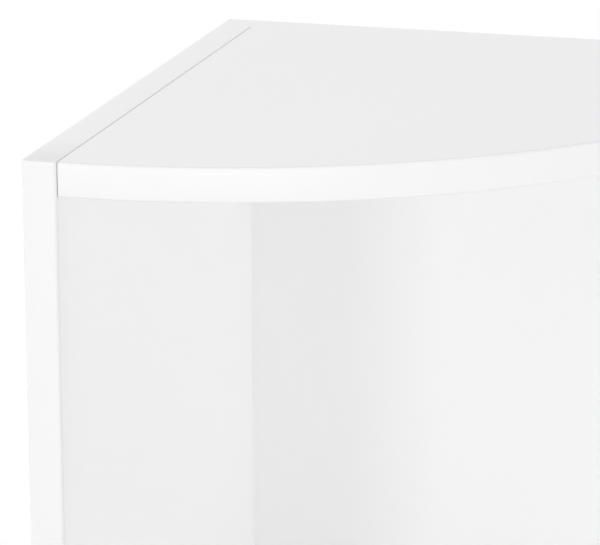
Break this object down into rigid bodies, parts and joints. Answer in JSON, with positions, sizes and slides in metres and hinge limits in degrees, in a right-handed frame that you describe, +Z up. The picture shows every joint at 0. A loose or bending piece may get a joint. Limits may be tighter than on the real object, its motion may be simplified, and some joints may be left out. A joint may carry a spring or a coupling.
{
  "type": "corner shelf unit",
  "caption": "Tall white corner shelf unit: upright panels in an L carry quarter-round boards with softened edge bands and open compartments between them.",
  "frame": {"origin": "on the floor, below the middle of the unit's square outline", "axes": "+X to the right along the back panel, +Y towards the back panel and its wall, +Z up; the left panel stands at -X"},
  "size_m": [0.31, 0.31, 1.845],
  "materials": {
    "melamine_board": "chipboard faced with matt white melamine",
    "edge_band": "smooth white plastic edge band, satin",
    "connector_screw": "zinc-plated steel",
    "wood_dowel": "plain beech",
    "glide": "white moulded plastic"
  },
  "bodies": {
    "root": {"back_panel": "melamine_board", "back_panel_left_band": "edge_band", "back_panel_right_band": "edge_band", "back_panel_top_band": "edge_band", "bottom_board": "melamine_board", "bottom_board_edge_band": "edge_band", "bottom_board_screw_back_left": "connector_screw", "bottom_board_screw_back_right": "connector_screw", "bottom_board_screw_left_front": "connector_screw", "bottom_board_screw_left_rear": "connector_screw", "corner_dowel_1": "wood_dowel", "corner_dowel_2": "wood_dowel", "corner_dowel_3": "wood_dowel", "corner_dowel_4": "wood_dowel", "corner_screw_1": "connector_screw", "corner_screw_2": "connector_screw", "corner_screw_3": "connector_screw", "corner_screw_4": "connector_screw", "corner_screw_5": "connector_screw", "glide_back_left": "glide", "glide_back_right": "glide", "glide_left_front": "glide", "glide_left_rear": "glide", "left_panel": "melamine_board", "left_panel_front_band": "edge_band", "left_panel_top_band": "edge_band", "shelf_1": "melamine_board", "shelf_1_edge_band": "edge_band", "shelf_1_screw_back_left": "connector_screw", "shelf_1_screw_back_right": "connector_screw", "shelf_1_screw_left_front": "connector_screw", "shelf_1_screw_left_rear": "connector_screw", "shelf_2": "melamine_board", "shelf_2_edge_band": "edge_band", "shelf_2_screw_back_left": "connector_screw", "shelf_2_screw_back_right": "connector_screw", "shelf_2_screw_left_front": "connector_screw", "shelf_2_screw_left_rear": "connector_screw", "shelf_3": "melamine_board", "shelf_3_edge_band": "edge_band", "shelf_3_screw_back_left": "connector_screw", "shelf_3_screw_back_right": "connector_screw", "shelf_3_screw_left_front": "connector_screw", "shelf_3_screw_left_rear": "connector_screw", "shelf_4": "melamine_board", "shelf_4_edge_band": "edge_band", "shelf_4_screw_back_left": "connector_screw", "shelf_4_screw_back_right": "connector_screw", "shelf_4_screw_left_front": "connector_screw", "shelf_4_screw_left_rear": "connector_screw", "top_board": "melamine_board", "top_board_edge_band": "edge_band", "top_board_screw_back_left": "connector_screw", "top_board_screw_back_right": "connector_screw", "top_board_screw_left_front": "connector_screw", "top_board_screw_left_rear": "connector_screw"}
  },
  "joints": []
}
